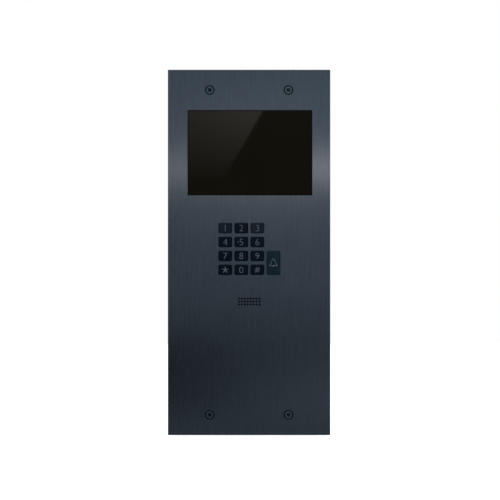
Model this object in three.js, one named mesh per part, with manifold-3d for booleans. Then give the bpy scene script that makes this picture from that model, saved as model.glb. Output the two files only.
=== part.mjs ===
// Flush-mounted door station of a video intercom: a blue-black metal plate with a display glass,
// a thirteen-key metal keypad and a speaker grille, in front of a sheet-metal box that sits in the wall.
//
// Millimetres. +X is to the right and +Z is up, seen from the front. -Y points at the visitor, so a
// larger y is deeper in the wall. The origin is the centre of the plate on the wall plane, y = 0.
// A piece is given by its outline seen from the front and the depths y between which it lies.

import * as THREE from 'three';
import { mergeVertices } from 'three/addons/utils/BufferGeometryUtils.js';
import Module from 'manifold-3d';

const wasm = await Module();
wasm.setup();

// ---------------------------------------------------------------- driving dimensions

const GAP = 0.3; // between pieces that touch, and round pieces that slide
const OVERRUN = 1; // how far a cutting tool runs past the face it cuts

const PLATE = { width: 180, height: 405, front: -5, back: -2, radius: 0.6 };
const GASKET = { width: 178, height: 403, opening: 158, openingHeight: 386 };
const BOX = { width: 156, height: 384, front: 0.5, back: 45, wall: 1.5, radius: 2 };
const BOX_FRAME = { opening: 149.8, openingHeight: 349 }; // flat frame on the front edge of the box
const ENTRY = { radius: 11, y: 24 }; // cable entry in the bottom wall of the box
const GROMMET = { bore: 5, lip: 2.2 };
const FIXING_HOLE = { radius: 2.5, x: 55, z: 150 }; // screws that hold the box in the wall

const SCREW = {
  x: 43.6, z: 180, shank: 2.5, head: 4.7, rim: 0.3, sunk: 0.1, end: 13, point: 1, socketDepth: 2,
};
const SOCKET = { mean: 2.0, lobe: 0.25, lobes: 6, pin: 0.7, pinRise: 1.3 };
const COUNTERSINK = { radius: 5.4, hole: 2.85 };
const RIVET_NUT = {
  flange: 5, flangeThickness: 1, bulge: 4.7, bulgeLength: 3, body: 3.5, bore: 2.8, end: 12,
};

const GLASS = { width: 137.6, height: 94.1, x: 0.9, z: 110.4, radius: 1 };
const TAPE = { thickness: 0.6, width: 2.6 };
const CARRIER = { width: 147, height: 116.6, front: -1.7, back: 4, ledge: -0.8, radius: 3 };
const LCD = { width: 120.7, height: 75.8, z: 104.6, front: -0.5, back: 2.6, wall: 0.6, sunk: 0.1 };
const LCD_WINDOW = { width: 110, height: 64 }; // opening in the carrier behind the display module
const CAMERA = {
  z: 149.4, lens: 4, bore: 5, lensFront: -0.6, lensBack: 7.6, eye: 2.6, rim: 0.6, dish: 0.8, crown: 0.4,
};
const CAMERA_HOLDER = { side: 12, front: 4.3, back: 8.3 };
const CAMERA_BOARD = { width: 16, height: 14, front: 8.6, back: 9.6 };

const STUD = { radius: 1.5, hole: 1.8 };
const NUT = { acrossFlats: 5.5, thickness: 2.4 };
const CARRIER_STUD = { x: 66, z: 53.1, end: 7.2 }; // measured from the centre of the glass
// Posts of the carrier, measured from the centre of the main board that they carry.
const POST = { x: 62, z: 38, radius: 3, peg: 1.4, pegRise: 0.8, root: 1 };

const KEY = { width: 14.4, height: 10.9, radius: 1.2, front: -5.8, travel: 0.8 };
const KEY_FLANGE = { margin: 1, thickness: 1 };
const KEY_STEM_RADIUS = 2.5;
const COLUMN_PITCH = 17.8;
const ROW_PITCH = 15.4;
const KEYPAD = { x: 0.3, z: 3.75, columns: 4, rows: 4 };

const MEMBRANE = { width: 80, height: 72, front: -1.7, sheet: 1.6, back: 2.6, rim: 2.2, radius: 3 };
const COLLAR = { radius: 4, bore: 2.9 }; // round each key's stem
const KEYPAD_BOARD = { width: 78, height: 70, front: 2.9, back: 4.5 };
const BACKPLATE = { width: 104, top: 44, bottom: -84, front: 4.8, back: 6.3, radius: 3 };
const BACKPLATE_STUD = { x: 47, top: 38, bottom: -78, end: 9.5 };
const RIBBON_NOTCH = { width: 26, depth: 12 };
const LEAD_HOLE = 1.9; // radius of the hole behind the microphone

const GRILLE = { x: 0.2, z: -54.4, columns: 8, rows: 3, pitch: 3.25, radius: 1.05 };
const SPEAKER = { x: -5.8, z: -54.4, radius: 12, front: 1.6, back: 4.5, wall: 1, rear: 0.8 };
const SPEAKER_SEAL = { inner: 9.5, front: -1.7, back: 1.3 };
const CONE = { radius: 10.4, throat: 3.2, depth: 1.3, thickness: 0.4, front: 1.9 };
const MAGNET = { radius: 5.2, front: 3.8, back: 9, chamfer: 0.5 };
const MICROPHONE = { x: 10.8, z: -54.4, radius: 2.9, front: 0.6, back: 4.3 };
const MICROPHONE_BOOT = { radius: 3.9, front: -1.7, back: 4.5, port: 1 };

const MAIN_BOARD = { width: 138, height: 96, x: 0.9, z: 108, front: 11, back: 12.6 };
const SHIELD = { width: 34, height: 34, depth: 3, wall: 0.5, x: 12, z: 118 };
const TERMINALS = {
  ways: 8, pitch: 5.08, depth: 14, height: 12, x: -32, z: 69,
  entry: 3, entryDepth: 7, entryRise: 3, well: 1.3, wellDepth: 4,
};
const RELAY = { width: 19, height: 15.5, depth: 15.3, x: -44, z: 96 };
const JACK = {
  width: 16, height: 18, depth: 13.4, x: 40, z: 71,
  cavityWidth: 11.8, cavityDepth: 8, cavityHeight: 14,
};
const TAMPER = {
  side: 10, depth: 8, x: -50, z: 138, bore: 2.3, boreFront: 14,
  stem: 2, foot: 3.5, footDepth: 2, travel: 0.8,
};

// Flat cable: how far it laps a board's edge, and lifts off the board before it bends.
const RIBBON = { thickness: 0.3, width: 20, lap: 2, lift: 0.1 };

const ROUND = 16; // sides of a circle
const SMALL_ROUND = 8; // sides of a small circle
const CORNER_STEPS = 1; // half the steps of a rounded corner

// ---------------------------------------------------------------- shapes and solids

function outline(width, height, radius = 0, x = 0, z = 0) {
  const shape = new THREE.Shape();
  const left = x - width / 2;
  const right = x + width / 2;
  const bottom = z - height / 2;
  const top = z + height / 2;
  if (radius === 0) {
    shape.moveTo(left, bottom);
    shape.lineTo(right, bottom);
    shape.lineTo(right, top);
    shape.lineTo(left, top);
    return shape;
  }
  shape.moveTo(left + radius, bottom);
  shape.absarc(right - radius, bottom + radius, radius, -Math.PI / 2, 0);
  shape.absarc(right - radius, top - radius, radius, 0, Math.PI / 2);
  shape.absarc(left + radius, top - radius, radius, Math.PI / 2, Math.PI);
  shape.absarc(left + radius, bottom + radius, radius, Math.PI, Math.PI * 1.5);
  return shape;
}

/** A plate of the given outline between two depths. */
function slab(shape, front, back) {
  const geometry = new THREE.ExtrudeGeometry(shape, {
    depth: back - front,
    bevelEnabled: false,
    curveSegments: CORNER_STEPS,
  });
  geometry.rotateX(Math.PI / 2);
  geometry.translate(0, back, 0);
  return geometry;
}

/** A cylinder along Y, or a cone when its two radii differ. */
function rod(radius, front, back, x = 0, z = 0, sides = SMALL_ROUND, backRadius = radius) {
  const geometry = new THREE.CylinderGeometry(backRadius, radius, back - front, sides);
  geometry.translate(x, (front + back) / 2, z);
  return geometry;
}

/** A rectangular block between two depths. */
function block(width, height, front, back, x = 0, z = 0) {
  const geometry = new THREE.BoxGeometry(width, back - front, height);
  geometry.translate(x, (front + back) / 2, z);
  return geometry;
}

/** A solid turned about a line along Y from [radius, depth] pairs. */
function turned(profile, x = 0, z = 0, sides = ROUND) {
  const points = profile.map(([radius, depth]) => new THREE.Vector2(radius, depth));
  const geometry = new THREE.LatheGeometry(points, sides);
  geometry.translate(x, 0, z);
  return geometry;
}

/** The same geometry as a solid that can be cut and joined. */
function solid(geometry) {
  geometry.deleteAttribute('normal');
  geometry.deleteAttribute('uv');
  const merged = mergeVertices(geometry);
  return new wasm.Manifold(new wasm.Mesh({
    numProp: 3,
    vertProperties: new Float32Array(merged.attributes.position.array),
    triVerts: new Uint32Array(merged.index.array),
  }));
}

function cut(body, ...tools) {
  return tools.reduce((rest, tool) => rest.subtract(solid(tool)), body);
}

function join(body, ...pieces) {
  return pieces.reduce((whole, piece) => whole.add(solid(piece)), body);
}

function geometryOf(body) {
  const { vertProperties, triVerts } = body.getMesh();
  const geometry = new THREE.BufferGeometry();
  geometry.setAttribute('position', new THREE.BufferAttribute(vertProperties, 3));
  geometry.setIndex(new THREE.BufferAttribute(triVerts, 1));
  const flat = geometry.toNonIndexed();
  flat.computeVertexNormals();
  return flat;
}

// ---------------------------------------------------------------- finishes

const FINISHES = {
  blueMetal: { color: 0x2c3944, roughness: 0.38, metalness: 0.85 },
  keyMetal: { color: 0x151c26, roughness: 0.35, metalness: 0.8 },
  blackGlass: { color: 0x0c0a06, roughness: 0.06, metalness: 0 },
  steel: { color: 0x9aa0a4, roughness: 0.35, metalness: 0.9 },
  zinc: { color: 0xb4b8b6, roughness: 0.5, metalness: 0.85 },
  blackPlastic: { color: 0x17181a, roughness: 0.6, metalness: 0 },
  greyPlastic: { color: 0x4a4d50, roughness: 0.6, metalness: 0 },
  greenPlastic: { color: 0x2f7a4a, roughness: 0.5, metalness: 0 },
  bluePlastic: { color: 0x2a5f9c, roughness: 0.5, metalness: 0 },
  rubber: { color: 0x1b1c1d, roughness: 0.9, metalness: 0 },
  silicone: { color: 0x8a9094, roughness: 0.8, metalness: 0 },
  foam: { color: 0x121314, roughness: 0.95, metalness: 0 },
  board: { color: 0x14502f, roughness: 0.55, metalness: 0 },
  film: { color: 0xc9a368, roughness: 0.5, metalness: 0 },
  screen: { color: 0x0a0b0d, roughness: 0.2, metalness: 0 },
  cone: { color: 0x2b2c2e, roughness: 0.8, metalness: 0 },
};

const station = new THREE.Group();

/** Adds one named piece to a group: a solid, or a geometry that needs no cutting. */
function addPiece(name, body, finish, group = station) {
  const geometry = body.isBufferGeometry ? body : geometryOf(body);
  const mesh = new THREE.Mesh(geometry, new THREE.MeshStandardMaterial(FINISHES[finish]));
  mesh.name = name;
  group.add(mesh);
  return mesh;
}

/** Calls back for the four corners of a rectangle with its half sizes x and z. */
function atCorners(x, z, place) {
  place('top_left', -x, z);
  place('top_right', x, z);
  place('bottom_left', -x, -z);
  place('bottom_right', x, -z);
}

// ---------------------------------------------------------------- keys, as a list used by several pieces

const KEY_NAMES = [
  ['1', '2', '3'],
  ['4', '5', '6'],
  ['7', '8', '9'],
  ['star', '0', 'hash'],
];

/** Twelve keys in three columns, and the bell key beside the two lower rows. */
function keyList() {
  const keys = [];
  const columnX = (column) => KEYPAD.x + (column - (KEYPAD.columns - 1) / 2) * COLUMN_PITCH;
  const rowZ = (row) => KEYPAD.z + ((KEYPAD.rows - 1) / 2 - row) * ROW_PITCH;
  KEY_NAMES.forEach((names, row) => {
    names.forEach((name, column) => {
      keys.push({ name: `key_${name}`, x: columnX(column), z: rowZ(row), height: KEY.height });
    });
  });
  const bellRows = [2, 3];
  const bellZ = (rowZ(bellRows[0]) + rowZ(bellRows[1])) / 2;
  keys.push({ name: 'key_bell', x: columnX(3), z: bellZ, height: KEY.height + ROW_PITCH });
  return keys;
}

const keys = keyList();

// ---------------------------------------------------------------- front plate and its screws

function countersinkTools(x, z) {
  const coneEnd = PLATE.front + COUNTERSINK.radius - COUNTERSINK.hole;
  const mouth = COUNTERSINK.radius + OVERRUN;
  return [
    rod(mouth, PLATE.front - OVERRUN, coneEnd, x, z, ROUND, COUNTERSINK.hole),
    rod(COUNTERSINK.hole, PLATE.front, PLATE.back + OVERRUN, x, z, ROUND),
  ];
}

function grilleHoles() {
  const holes = [];
  for (let row = 0; row < GRILLE.rows; row += 1) {
    for (let column = 0; column < GRILLE.columns; column += 1) {
      const x = GRILLE.x + (column - (GRILLE.columns - 1) / 2) * GRILLE.pitch;
      const z = GRILLE.z + (row - (GRILLE.rows - 1) / 2) * GRILLE.pitch;
      holes.push(rod(GRILLE.radius, PLATE.front - OVERRUN, PLATE.back + OVERRUN, x, z));
    }
  }
  return holes;
}

function weldStuds() {
  const studs = [];
  const root = PLATE.back - OVERRUN;
  atCorners(CARRIER_STUD.x, CARRIER_STUD.z, (corner, x, z) => {
    studs.push(rod(STUD.radius, root, CARRIER_STUD.end, GLASS.x + x, GLASS.z + z));
  });
  for (const side of [-1, 1]) {
    for (const z of [BACKPLATE_STUD.top, BACKPLATE_STUD.bottom]) {
      studs.push(rod(STUD.radius, root, BACKPLATE_STUD.end, KEYPAD.x + side * BACKPLATE_STUD.x, z));
    }
  }
  return studs;
}

function frontPlate() {
  const through = [PLATE.front - OVERRUN, PLATE.back + OVERRUN];
  let plate = solid(slab(outline(PLATE.width, PLATE.height, PLATE.radius), PLATE.front, PLATE.back));
  const glassHole = outline(
    GLASS.width + 2 * GAP, GLASS.height + 2 * GAP, GLASS.radius + GAP, GLASS.x, GLASS.z,
  );
  plate = cut(plate, slab(glassHole, ...through), ...grilleHoles());
  for (const key of keys) {
    const hole = outline(KEY.width + 2 * GAP, key.height + 2 * GAP, KEY.radius + GAP, key.x, key.z);
    plate = cut(plate, slab(hole, ...through));
  }
  atCorners(SCREW.x, SCREW.z, (corner, x, z) => {
    plate = cut(plate, ...countersinkTools(x, z));
  });
  return join(plate, ...weldStuds());
}

/** Six-lobed socket outline with the security pin left standing in its middle. */
function socketOutline() {
  const steps = SOCKET.lobes * 4;
  const points = [];
  for (let step = 0; step < steps; step += 1) {
    const angle = (step / steps) * Math.PI * 2;
    const radius = SOCKET.mean + SOCKET.lobe * Math.cos(SOCKET.lobes * angle);
    points.push(new THREE.Vector2(radius * Math.cos(angle), radius * Math.sin(angle)));
  }
  return new THREE.Shape(points);
}

function frontScrew() {
  const face = PLATE.front + SCREW.sunk;
  const rim = face + SCREW.rim;
  const coneEnd = rim + SCREW.head - SCREW.shank;
  const body = solid(turned([
    [0, face],
    [SCREW.head, face],
    [SCREW.head, rim],
    [SCREW.shank, coneEnd],
    [SCREW.shank, SCREW.end - SCREW.point],
    [SCREW.shank - SCREW.point, SCREW.end],
    [0, SCREW.end],
  ]));
  const socket = solid(slab(socketOutline(), face - OVERRUN, face + SCREW.socketDepth));
  const pin = rod(SOCKET.pin, face + SCREW.socketDepth - SOCKET.pinRise, face + SCREW.socketDepth);
  return body.subtract(socket.subtract(solid(pin)));
}

function rivetNut() {
  const flangeBack = BOX.front - GAP;
  const flangeFront = flangeBack - RIVET_NUT.flangeThickness;
  const bulgeFront = BOX.front + BOX.wall + GAP;
  const bulgeBack = bulgeFront + RIVET_NUT.bulgeLength;
  return turned([
    [RIVET_NUT.bore, flangeFront],
    [RIVET_NUT.flange, flangeFront],
    [RIVET_NUT.flange, flangeBack],
    [RIVET_NUT.body, flangeBack],
    [RIVET_NUT.body, bulgeFront],
    [RIVET_NUT.bulge, bulgeFront],
    [RIVET_NUT.body, bulgeBack],
    [RIVET_NUT.body, RIVET_NUT.end],
    [RIVET_NUT.bore, RIVET_NUT.end],
    [RIVET_NUT.bore, flangeFront],
  ]);
}

/** Hexagon nut whose front face lies at the given depth. */
function hexNut(front) {
  const sides = 6;
  const corner = NUT.acrossFlats / Math.sqrt(3);
  const body = solid(rod(corner, front, front + NUT.thickness, 0, 0, sides));
  return cut(body, rod(STUD.hole, front - OVERRUN, front + NUT.thickness + OVERRUN));
}

addPiece('front_plate', frontPlate(), 'blueMetal');
atCorners(SCREW.x, SCREW.z, (corner, x, z) => {
  addPiece(`front_screw_${corner}`, frontScrew(), 'steel').position.set(x, 0, z);
  addPiece(`rivet_nut_${corner}`, rivetNut(), 'zinc').position.set(x, 0, z);
});

// ---------------------------------------------------------------- wall box, grommet and wall gasket

/** Flat frame that closes the front edge of the box and takes the rivet nuts. */
function boxFrame() {
  const back = BOX.front + BOX.wall;
  const ring = outline(BOX.width, BOX.height, BOX.radius);
  ring.holes.push(outline(BOX_FRAME.opening, BOX_FRAME.openingHeight));
  let frame = solid(slab(ring, BOX.front, back));
  atCorners(SCREW.x, SCREW.z, (corner, x, z) => {
    frame = cut(frame, rod(
      RIVET_NUT.body + GAP, BOX.front - OVERRUN, back + OVERRUN, x, z, ROUND,
    ));
  });
  return frame;
}

/** The four side walls of the box, with the cable entry in the lower one. */
function boxWalls() {
  const front = BOX.front + BOX.wall + GAP;
  const back = BOX.back - BOX.wall - GAP;
  const ring = outline(BOX.width, BOX.height, BOX.radius);
  ring.holes.push(outline(BOX.width - 2 * BOX.wall, BOX.height - 2 * BOX.wall));
  const entry = rod(ENTRY.radius, -BOX.wall - OVERRUN, BOX.wall + OVERRUN, 0, 0, ROUND);
  entry.rotateX(Math.PI / 2);
  entry.translate(0, ENTRY.y, -BOX.height / 2);
  return cut(solid(slab(ring, front, back)), entry);
}

/** Rear sheet of the box with the four holes by which it hangs in the wall. */
function boxRear() {
  const front = BOX.back - BOX.wall;
  let rear = solid(slab(outline(BOX.width, BOX.height, BOX.radius), front, BOX.back));
  atCorners(FIXING_HOLE.x, FIXING_HOLE.z, (corner, x, z) => {
    rear = cut(rear, rod(FIXING_HOLE.radius, front - OVERRUN, BOX.back + OVERRUN, x, z));
  });
  return rear;
}

/** Rubber bush turned about Z whose groove takes the bottom wall of the box. */
function cableGrommet() {
  const { bore, lip } = GROMMET;
  const lipRadius = ENTRY.radius + lip;
  const neck = ENTRY.radius - GAP;
  const half = BOX.wall / 2 + GAP;
  const bush = turned([
    [bore, -half - lip],
    [neck, -half - lip],
    [lipRadius, -half],
    [neck, -half],
    [neck, half],
    [lipRadius, half],
    [neck, half + lip],
    [bore, half + lip],
    [bore, -half - lip],
  ]);
  bush.rotateX(Math.PI / 2);
  bush.translate(0, ENTRY.y, -(BOX.height - BOX.wall) / 2);
  return bush;
}

function wallGasket() {
  const ring = outline(GASKET.width, GASKET.height, PLATE.radius);
  ring.holes.push(outline(GASKET.opening, GASKET.openingHeight));
  return slab(ring, PLATE.back + GAP, 0);
}

addPiece('box_frame', boxFrame(), 'zinc');
addPiece('box_walls', boxWalls(), 'zinc');
addPiece('box_rear', boxRear(), 'zinc');
addPiece('cable_grommet', cableGrommet(), 'rubber');
addPiece('wall_gasket', wallGasket(), 'foam');

// ---------------------------------------------------------------- display: glass, tape, carrier and module

function glassTape() {
  const ring = outline(GLASS.width - 2 * GAP, GLASS.height - 2 * GAP, 0, GLASS.x, GLASS.z);
  ring.holes.push(outline(
    GLASS.width - 2 * GAP - 2 * TAPE.width, GLASS.height - 2 * GAP - 2 * TAPE.width, 0, GLASS.x, GLASS.z,
  ));
  const front = PLATE.back + GAP;
  return slab(ring, front, front + TAPE.thickness);
}

/** Frame behind the glass: a ledge for the tape, a pocket for the display and posts for the board. */
function displayCarrier() {
  const frame = outline(CARRIER.width, CARRIER.height, CARRIER.radius, GLASS.x, GLASS.z);
  const recess = outline(GLASS.width + 2 * GAP, GLASS.height + 2 * GAP, GLASS.radius, GLASS.x, GLASS.z);
  let carrier = solid(slab(frame, CARRIER.front, CARRIER.back));
  carrier = cut(
    carrier,
    slab(recess, CARRIER.front - OVERRUN, CARRIER.ledge),
    block(LCD.width + 2 * GAP, LCD.height + 2 * GAP, CARRIER.front, LCD.back + GAP, GLASS.x, LCD.z),
    block(LCD_WINDOW.width, LCD_WINDOW.height, CARRIER.front, CARRIER.back + OVERRUN, GLASS.x, LCD.z),
    rod(CAMERA.bore, CARRIER.front, CARRIER.back + OVERRUN, GLASS.x, CAMERA.z, ROUND),
  );
  atCorners(CARRIER_STUD.x, CARRIER_STUD.z, (corner, x, z) => {
    carrier = cut(carrier, rod(
      STUD.hole, CARRIER.front - OVERRUN, CARRIER.back + OVERRUN, GLASS.x + x, GLASS.z + z,
    ));
  });
  atCorners(POST.x, POST.z, (corner, x, z) => {
    carrier = join(
      carrier,
      rod(POST.radius, CARRIER.back - POST.root, MAIN_BOARD.front - GAP, MAIN_BOARD.x + x, MAIN_BOARD.z + z),
      rod(POST.peg, CARRIER.back, MAIN_BOARD.back + POST.pegRise, MAIN_BOARD.x + x, MAIN_BOARD.z + z),
    );
  });
  return carrier;
}

/** Metal tray of the display module, open to the front. */
function lcdFrame() {
  const tray = solid(block(LCD.width, LCD.height, LCD.front, LCD.back, GLASS.x, LCD.z));
  return cut(tray, block(
    LCD.width - 2 * LCD.wall, LCD.height - 2 * LCD.wall,
    LCD.front - OVERRUN, LCD.back - LCD.wall, GLASS.x, LCD.z,
  ));
}

function lcdPanel() {
  const margin = 2 * (LCD.wall + GAP);
  return block(
    LCD.width - margin, LCD.height - margin,
    LCD.front + LCD.sunk, LCD.back - LCD.wall - GAP, GLASS.x, LCD.z,
  );
}

addPiece(
  'display_glass',
  slab(outline(GLASS.width, GLASS.height, GLASS.radius, GLASS.x, GLASS.z), PLATE.front, PLATE.back),
  'blackGlass',
);
addPiece('glass_tape', glassTape(), 'foam');
addPiece('display_carrier', displayCarrier(), 'blackPlastic');
addPiece('lcd_frame', lcdFrame(), 'steel');
addPiece('lcd_panel', lcdPanel(), 'screen');
atCorners(CARRIER_STUD.x, CARRIER_STUD.z, (corner, x, z) => {
  addPiece(`carrier_nut_${corner}`, hexNut(CARRIER.back + GAP), 'zinc')
    .position.set(GLASS.x + x, 0, GLASS.z + z);
});

// ---------------------------------------------------------------- camera behind the upper edge of the glass

/** Barrel with a dished front lens. */
function cameraLens() {
  const rim = CAMERA.lens - CAMERA.rim;
  return turned([
    [0, CAMERA.lensFront + CAMERA.dish - CAMERA.crown],
    [CAMERA.eye, CAMERA.lensFront + CAMERA.dish],
    [rim, CAMERA.lensFront],
    [CAMERA.lens, CAMERA.lensFront],
    [CAMERA.lens, CAMERA.lensBack],
    [0, CAMERA.lensBack],
  ], GLASS.x, CAMERA.z);
}

function cameraHolder() {
  const { side, front, back } = CAMERA_HOLDER;
  const holder = solid(block(side, side, front, back, GLASS.x, CAMERA.z));
  return cut(holder, rod(CAMERA.lens + GAP, front - OVERRUN, back + OVERRUN, GLASS.x, CAMERA.z, ROUND));
}

addPiece('camera_lens', cameraLens(), 'blackPlastic');
addPiece('camera_holder', cameraHolder(), 'blackPlastic');
addPiece(
  'camera_board',
  block(CAMERA_BOARD.width, CAMERA_BOARD.height, CAMERA_BOARD.front, CAMERA_BOARD.back, GLASS.x, CAMERA.z),
  'board',
);

// ---------------------------------------------------------------- keypad

/** Cap through the plate, a flange that keeps it from falling out, and a stem that presses the board. */
function keyBody(key) {
  const flangeFront = PLATE.back + GAP;
  const flangeBack = flangeFront + KEY_FLANGE.thickness;
  const grow = 2 * KEY_FLANGE.margin;
  const cap = solid(slab(outline(KEY.width, key.height, KEY.radius), KEY.front, flangeBack));
  return join(
    cap,
    slab(outline(KEY.width + grow, key.height + grow, KEY.radius), flangeFront, flangeBack),
    rod(KEY_STEM_RADIUS, flangeFront, KEYPAD_BOARD.front - GAP - KEY.travel),
  );
}

/** Silicone tray: a rim that seals on the plate and a collar round each key's stem. */
function keypadMembrane() {
  const { width, height, radius, rim, front, sheet, back } = MEMBRANE;
  const collarFront = PLATE.back + GAP + KEY_FLANGE.thickness + KEY.travel + GAP;
  let membrane = solid(slab(outline(width, height, radius, KEYPAD.x, KEYPAD.z), front, back));
  membrane = cut(membrane, block(
    width - 2 * rim, height - 2 * rim, front - OVERRUN, sheet, KEYPAD.x, KEYPAD.z,
  ));
  for (const key of keys) {
    membrane = join(membrane, rod(COLLAR.radius, collarFront, back, key.x, key.z));
  }
  for (const key of keys) {
    membrane = cut(membrane, rod(COLLAR.bore, front, back + OVERRUN, key.x, key.z));
  }
  return membrane;
}

/** Steel plate that clamps the keypad and the speaker to the back of the front plate. */
function keypadBackplate() {
  const { width, top, bottom, front, back, radius } = BACKPLATE;
  const through = [front - OVERRUN, back + OVERRUN];
  const shape = outline(width, top - bottom, radius, KEYPAD.x, (top + bottom) / 2);
  let plate = solid(slab(shape, front, back));
  plate = cut(
    plate,
    block(
      RIBBON_NOTCH.width, 2 * RIBBON_NOTCH.depth, ...through, KEYPAD.x, top,
    ),
    rod(MAGNET.radius + 2 * GAP, ...through, SPEAKER.x, SPEAKER.z, ROUND),
    rod(LEAD_HOLE, ...through, MICROPHONE.x, MICROPHONE.z),
  );
  for (const side of [-1, 1]) {
    for (const z of [BACKPLATE_STUD.top, BACKPLATE_STUD.bottom]) {
      plate = cut(plate, rod(STUD.hole, ...through, KEYPAD.x + side * BACKPLATE_STUD.x, z));
    }
  }
  return plate;
}

for (const key of keys) {
  addPiece(key.name, keyBody(key), 'keyMetal').position.set(key.x, 0, key.z);
}
addPiece('keypad_membrane', keypadMembrane(), 'silicone');
addPiece(
  'keypad_board',
  block(
    KEYPAD_BOARD.width, KEYPAD_BOARD.height, KEYPAD_BOARD.front, KEYPAD_BOARD.back, KEYPAD.x, KEYPAD.z,
  ),
  'board',
);
addPiece('keypad_backplate', keypadBackplate(), 'zinc');
for (const [side, sign] of [['left', -1], ['right', 1]]) {
  for (const end of ['top', 'bottom']) {
    addPiece(`backplate_nut_${end}_${side}`, hexNut(BACKPLATE.back + GAP), 'zinc')
      .position.set(KEYPAD.x + sign * BACKPLATE_STUD.x, 0, BACKPLATE_STUD[end]);
  }
}

// ---------------------------------------------------------------- speaker and microphone

function ringAlongY(outer, inner, front, back, x, z) {
  return turned([
    [inner, front],
    [outer, front],
    [outer, back],
    [inner, back],
    [inner, front],
  ], x, z);
}

function speakerBasket() {
  const { radius, front, back, wall, rear, x, z } = SPEAKER;
  const hole = MAGNET.radius + GAP;
  return turned([
    [radius - wall, front],
    [radius, front],
    [radius, back],
    [hole, back],
    [hole, back - rear],
    [radius - wall, back - rear],
    [radius - wall, front],
  ], x, z);
}

/** Paper cone, a thin dish with a closed dust cap in its middle. */
function speakerCone() {
  const { radius, throat, depth, thickness, front } = CONE;
  return turned([
    [0, front + depth],
    [throat, front + depth],
    [radius, front],
    [radius, front + thickness],
    [throat, front + depth + thickness],
    [0, front + depth + thickness],
  ], SPEAKER.x, SPEAKER.z);
}

function speakerMagnet() {
  const { radius, front, back, chamfer } = MAGNET;
  return turned([
    [0, front],
    [radius, front],
    [radius, back - chamfer],
    [radius - chamfer, back],
    [0, back],
  ], SPEAKER.x, SPEAKER.z);
}

/** Rubber cup with a sound port in its front wall. */
function microphoneBoot() {
  const { radius, front, back, port } = MICROPHONE_BOOT;
  const pocket = MICROPHONE.radius + GAP;
  const floor = MICROPHONE.front - GAP;
  return turned([
    [port, front],
    [radius, front],
    [radius, back],
    [pocket, back],
    [pocket, floor],
    [port, floor],
    [port, front],
  ], MICROPHONE.x, MICROPHONE.z);
}

addPiece(
  'speaker_seal',
  ringAlongY(
    SPEAKER.radius, SPEAKER_SEAL.inner, SPEAKER_SEAL.front, SPEAKER_SEAL.back, SPEAKER.x, SPEAKER.z,
  ),
  'foam',
);
addPiece('speaker_basket', speakerBasket(), 'steel');
addPiece('speaker_cone', speakerCone(), 'cone');
addPiece('speaker_magnet', speakerMagnet(), 'steel');
addPiece('microphone_boot', microphoneBoot(), 'rubber');
addPiece(
  'microphone_capsule',
  rod(MICROPHONE.radius, MICROPHONE.front, MICROPHONE.back, MICROPHONE.x, MICROPHONE.z, ROUND),
  'steel',
);

// ---------------------------------------------------------------- main board and what stands on it

const MOUNTED = MAIN_BOARD.back + GAP; // front of everything that stands on the back of the board

function mainBoard() {
  const { width, height, x, z, front, back } = MAIN_BOARD;
  let board = solid(block(width, height, front, back, x, z));
  atCorners(POST.x, POST.z, (corner, dx, dz) => {
    board = cut(board, rod(POST.peg + GAP, front - OVERRUN, back + OVERRUN, x + dx, z + dz));
  });
  return board;
}

/** Tin lid over the processor, open towards the board. */
function processorShield() {
  const { width, height, depth, wall, x, z } = SHIELD;
  const lid = solid(block(width, height, MOUNTED, MOUNTED + depth, x, z));
  return cut(lid, block(
    width - 2 * wall, height - 2 * wall, MOUNTED - OVERRUN, MOUNTED + depth - wall, x, z,
  ));
}

/** Row of screw terminals: wires go in from below and the clamping screws face the back. */
function terminalBlock() {
  const { ways, pitch, depth, height, x, z } = TERMINALS;
  const { entry, entryDepth, entryRise, well, wellDepth } = TERMINALS;
  const back = MOUNTED + depth;
  let body = solid(block(ways * pitch, height, MOUNTED, back, x, z));
  for (let way = 0; way < ways; way += 1) {
    const wayX = x + (way - (ways - 1) / 2) * pitch;
    const bottom = z - height / 2;
    body = cut(
      body,
      block(
        entry, 2 * entryDepth, MOUNTED + entryRise, MOUNTED + entryRise + entry, wayX, bottom,
      ),
      rod(well, back - wellDepth, back + OVERRUN, wayX, z),
    );
  }
  return body;
}

/** Shielded network socket, open downwards for the plug. */
function networkJack() {
  const { width, height, depth, x, z, cavityWidth, cavityDepth, cavityHeight } = JACK;
  const middle = MOUNTED + depth / 2;
  const body = solid(block(width, height, MOUNTED, MOUNTED + depth, x, z));
  return cut(body, block(
    cavityWidth, 2 * cavityHeight, middle - cavityDepth / 2, middle + cavityDepth / 2, x, z - height / 2,
  ));
}

function tamperSwitch() {
  const { side, depth, bore, boreFront } = TAMPER;
  const back = MOUNTED + depth;
  const body = solid(block(side, side, MOUNTED, back));
  return cut(body, rod(bore, boreFront, back + OVERRUN));
}

/** Long plunger that the back wall of the box keeps pressed. */
function tamperPlunger() {
  const { stem, foot, footDepth, boreFront, travel } = TAMPER;
  const stemFront = boreFront + GAP + travel;
  const footBack = BOX.back - BOX.wall - GAP;
  return turned([
    [0, stemFront],
    [stem, stemFront],
    [stem, footBack - footDepth],
    [foot, footBack - footDepth],
    [foot, footBack],
    [0, footBack],
  ], 0, 0, SMALL_ROUND);
}

addPiece('main_board', mainBoard(), 'board');
addPiece('processor_shield', processorShield(), 'steel');
addPiece('terminal_block', terminalBlock(), 'greenPlastic');
addPiece(
  'lock_relay',
  block(RELAY.width, RELAY.height, MOUNTED, MOUNTED + RELAY.depth, RELAY.x, RELAY.z),
  'bluePlastic',
);
addPiece('network_jack', networkJack(), 'steel');
addPiece('tamper_switch', tamperSwitch(), 'blackPlastic').position.set(TAMPER.x, 0, TAMPER.z);
addPiece('tamper_plunger', tamperPlunger(), 'greyPlastic').position.set(TAMPER.x, 0, TAMPER.z);

// ---------------------------------------------------------------- flat cable

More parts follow.
